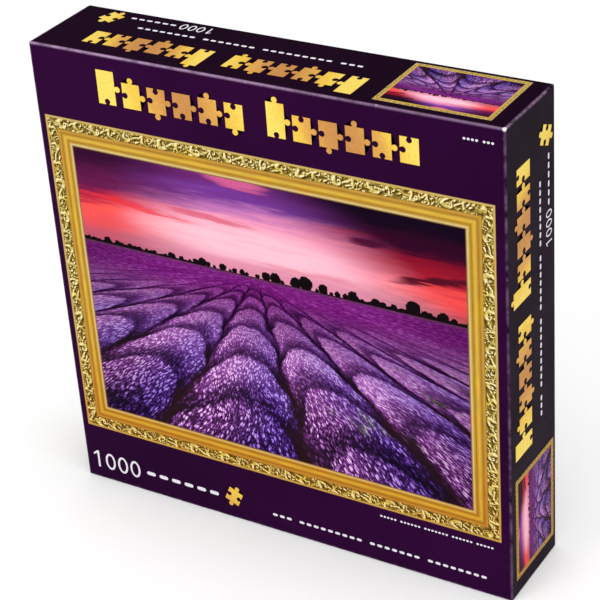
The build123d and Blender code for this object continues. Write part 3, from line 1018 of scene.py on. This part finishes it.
def leaflet_material():
    """The folded picture sheet: the picture on its outside panel, inside a white margin."""
    material, tree, surface = new_material("leaflet paper")
    low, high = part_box("picture_leaflet")
    place = object_place(tree)
    x, y, z = parts_of(place)
    across = (z - low.z) / (high.z - low.z)
    down = (x - low.x) / (high.x - low.x)
    margin = 0.035
    inside_z = across.at_most(1.0 - across).smooth(margin * 0.5, margin * 0.5 + 0.002)
    inside_x = down.at_most(1.0 - down).smooth(margin, margin + 0.004)
    picture = use_group(GROUPS["picture"], across * 0.94 + 0.03, down * 0.70 + 0.16)
    tooth = noise(place, 1300.0, 3.0)
    paper = tooth.tones(srgb(226, 222, 214), srgb(246, 244, 238))
    on_front = (y - low.y).smooth(0.25 * MM, 0.15 * MM)
    colour = mix(inside_x * inside_z * on_front, paper, picture)
    feed(tree, surface.inputs["Base Color"], colour)
    surface.inputs["Roughness"].default_value = 0.42
    bump(surface, tree, noise(place, 35.0, 3.0), 0.25, 0.002)
    return material


dress("picture_leaflet", leaflet_material())


# ---------------------------------------------------------------- the film bag
FILM_GRID = 64
FILM_FRAMES = 16
FILM_CAP = 3.0 * MM  # how far the cloth run may move a point
SEAL_LENGTH = 8.5 * MM
SHOULDER = 16 * MM  # from a seal to the bag's full thickness
CREASES = ((1.0, 1.0), (2.3, 0.5), (5.1, 0.25))  # the scale and the share of each layer of folds
CREASE_DEPTH = 3.2 * MM


def film_bag_mesh():
    """A pillow of film: two sheets joined all round, with a flat crimped seal at both ends."""
    low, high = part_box("piece_bag")
    middle = (low + high) / 2
    half_x = (high.x - low.x) / 2 - 1.5 * MM
    half_z = (high.z - low.z) / 2 - 0.5 * MM
    half_y = (high.y - low.y) / 2 - FILM_CAP * 0.5
    body_end = half_z - SEAL_LENGTH - SHOULDER
    work = bmesh.new()
    rows = {}
    for sheet in (-1, 1):
        for i in range(FILM_GRID + 1):
            for j in range(FILM_GRID + 1):
                s = 2 * i / FILM_GRID - 1
                t = 2 * j / FILM_GRID - 1
                if sheet == 1 and (abs(s) == 1 or abs(t) == 1):
                    rows[sheet, i, j] = rows[-1, i, j]
                    continue
                z_offset = t * half_z
                body = max(0.0, 1 - max(0.0, abs(z_offset) - body_end) / SHOULDER)
                swell = (1 - abs(s) ** 10) ** 0.5 * (1 - (1 - body) ** 2) ** 0.5
                swell = max(swell, 0.006)
                pinch = 1 - 0.02 * (1 - body)
                spot = (middle.x + s * half_x * pinch, middle.y + sheet * half_y * swell, middle.z + z_offset)
                rows[sheet, i, j] = work.verts.new(spot)
    for sheet in (-1, 1):
        for i in range(FILM_GRID):
            for j in range(FILM_GRID):
                work.faces.new([rows[sheet, i, j], rows[sheet, i + 1, j],
                                rows[sheet, i + 1, j + 1], rows[sheet, i, j + 1]])
    bmesh.ops.recalc_face_normals(work, faces=work.faces)
    mesh = bpy.data.meshes.new("film_bag")
    work.to_mesh(mesh)
    work.free()
    return mesh


def crumple(piece, seed):
    """Small film creases: layers of ridges pushed along the surface's normals, fading at the seals."""
    low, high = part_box("piece_bag")
    mesh = piece.data
    for vertex in mesh.vertices:
        spot = vertex.co * 30.0 + Vector((seed, 0, 0))
        ridge = sum(share * abs(steady_noise.noise(spot * scale)) for scale, share in CREASES)
        edge = min((high.x - abs(vertex.co.x)) / (6 * MM), 1.0)
        ends = min((min(vertex.co.z - low.z, high.z - vertex.co.z) - 6 * MM) / (10 * MM), 1.0)
        free = max(0.0, edge) * max(0.0, ends)
        vertex.co += vertex.normal * (0.45 - ridge) * CREASE_DEPTH * free
        vertex.co.y = min(max(vertex.co.y, low.y), high.y)
        vertex.co.x = min(max(vertex.co.x, low.x), high.x)


def settle_film(piece):
    """Let the film find its own folds: a short cloth run under slight pressure, held to a small move."""
    start = [vertex.co.copy() for vertex in piece.data.vertices]
    cloth = piece.modifiers.new("settle", "CLOTH")
    cloth.settings.quality = 4
    cloth.settings.mass = 0.05
    cloth.settings.bending_stiffness = 0.05
    cloth.settings.use_pressure = True
    cloth.settings.uniform_pressure_force = 1.2
    cloth.settings.shrink_min = -0.03
    cloth.settings.effector_weights.gravity = 0.0
    cloth.point_cache.frame_start = 1
    cloth.point_cache.frame_end = FILM_FRAMES
    for step in range(1, FILM_FRAMES + 1):
        bpy.context.scene.frame_set(step)
    solved = piece.evaluated_get(bpy.context.evaluated_depsgraph_get())
    settled = [vertex.co.copy() for vertex in solved.data.vertices]
    piece.modifiers.remove(cloth)
    bpy.context.scene.frame_set(1)
    for vertex, before, after in zip(piece.data.vertices, start, settled):
        move = after - before
        if move.length > FILM_CAP:
            move = move.normalized() * FILM_CAP
        vertex.co = before + move


def film_material():
    material, tree, surface = new_material("clear film")
    place = object_place(tree)
    z = parts_of(place)[2]
    low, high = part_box("piece_bag")
    seal = (z - low.z).at_most(high.z - z).smooth(9.0 * MM, 8.0 * MM)
    crimp = (z / MM * 4.2).math("SINE").smooth(-0.4, 0.6)
    haze = noise(place, 40.0, 4.0).smooth(0.35, 0.8, 0.05, 0.16)
    feed(tree, surface.inputs["Alpha"], haze + seal * (crimp * 0.25 + 0.22))
    feed(tree, surface.inputs["Base Color"],
         noise(place, 25.0).tones(srgb(222, 228, 238), srgb(250, 252, 255)))
    feed(tree, surface.inputs["Roughness"], noise(place, 80.0).smooth(0.3, 0.7, 0.05, 0.16))
    surface.inputs["Specular IOR Level"].default_value = 0.9
    surface.inputs["Coat Weight"].default_value = 0.6
    surface.inputs["Coat Roughness"].default_value = 0.08
    return material


film = add_object("film_bag", film_bag_mesh(), "bag", film_material())
settle_film(film)
crumple(film, 5.0)
smoothing = film.modifiers.new("smooth", "SUBSURF")
smoothing.levels = 1
smoothing.render_levels = 1
for polygon in film.data.polygons:
    polygon.use_smooth = True
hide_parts("piece_bag")


# ---------------------------------------------------------------- floor, light and camera
FLOOR_REACH = 6.0
FLOOR_DROP = 0.15 * MM  # below the lid, clear of the ink on its bottom


def add_floor():
    mesh = bpy.data.meshes.new("floor")
    corners = rectangle(-FLOOR_REACH, -FLOOR_REACH, FLOOR_REACH, FLOOR_REACH)
    mesh.from_pydata([(x, y, 0) for x, y in corners], [], [(0, 1, 2, 3)])
    floor = bpy.data.objects.new("floor", mesh)
    floor.location.z = BOX_LOW.z - FLOOR_DROP
    bpy.context.scene.collection.objects.link(floor)
    material, tree, surface = new_material("pale floor")
    tone = noise(object_place(tree), 3.0, 2.0).tones((0.93, 0.93, 0.93, 1), (0.95, 0.95, 0.95, 1))
    feed(tree, surface.inputs["Base Color"], tone)
    surface.inputs["Roughness"].default_value = 0.9
    surface.inputs["Specular IOR Level"].default_value = 0.1
    surface.inputs["Emission Color"].default_value = (1, 1, 1, 1)
    surface.inputs["Emission Strength"].default_value = 0.12
    mesh.materials.append(material)


def add_world():
    """A white surround that only the camera sees at full strength."""
    world = bpy.data.worlds.new("studio")
    bpy.context.scene.world = world
    world.use_nodes = True
    tree = world.node_tree
    back = tree.nodes["Background"]
    paths = tree.nodes.new("ShaderNodeLightPath")
    seen = Signal(tree, paths.outputs["Is Camera Ray"])
    glossy = Signal(tree, paths.outputs["Is Glossy Ray"])
    back.inputs["Color"].default_value = (1, 1, 1, 1)
    feed(tree, back.inputs["Strength"], (seen * 0.35 + 0.72) - glossy * 0.50)


def add_light(name, place, aim, size, power, tint=(1, 1, 1)):
    lamp = bpy.data.lights.new(name, "AREA")
    lamp.shape = "DISK"
    lamp.size = size
    lamp.energy = power
    lamp.color = tint
    light = bpy.data.objects.new(name, lamp)
    light.location = place
    light.rotation_euler = (Vector(aim) - Vector(place)).to_track_quat("-Z", "Y").to_euler()
    bpy.context.scene.collection.objects.link(light)


CAMERA_AZIMUTH = 32.72
CAMERA_ELEVATION = 29.99
CAMERA_ROLL = -4.32
CAMERA_LENS = 120.9
CAMERA_DISTANCE = 3.918 * WIDTH
AIM_OFFSET = Vector((0.0041, 0.0008, -0.0021)) * WIDTH


def add_camera():
    """The photograph's viewpoint: front right, from above, rolled a few degrees."""
    centre = (BOX_LOW + BOX_HIGH) / 2
    azimuth, elevation = math.radians(CAMERA_AZIMUTH), math.radians(CAMERA_ELEVATION)
    towards = Vector((math.sin(azimuth) * math.cos(elevation), -math.cos(azimuth) * math.cos(elevation),
                      math.sin(elevation)))
    camera = bpy.data.objects.new("camera", bpy.data.cameras.new("camera"))
    camera.data.lens = CAMERA_LENS
    camera.data.sensor_width = 36.0
    camera.location = centre + AIM_OFFSET + towards * CAMERA_DISTANCE
    look = (-towards).to_track_quat("-Z", "Y")
    camera.rotation_euler = (look @ Quaternion((0, 0, 1), math.radians(CAMERA_ROLL))).to_euler()
    bpy.context.scene.collection.objects.link(camera)
    bpy.context.scene.camera = camera


add_floor()
add_world()
add_light("key", (-0.5, -1.5, 0.9), (0, 0, 0.12), 0.9, 6.0)
add_light("overhead", (0.3, -0.2, 1.6), (0, 0, 0.1), 1.2, 9.0)
add_camera()
bpy.context.scene.view_settings.view_transform = "Standard"
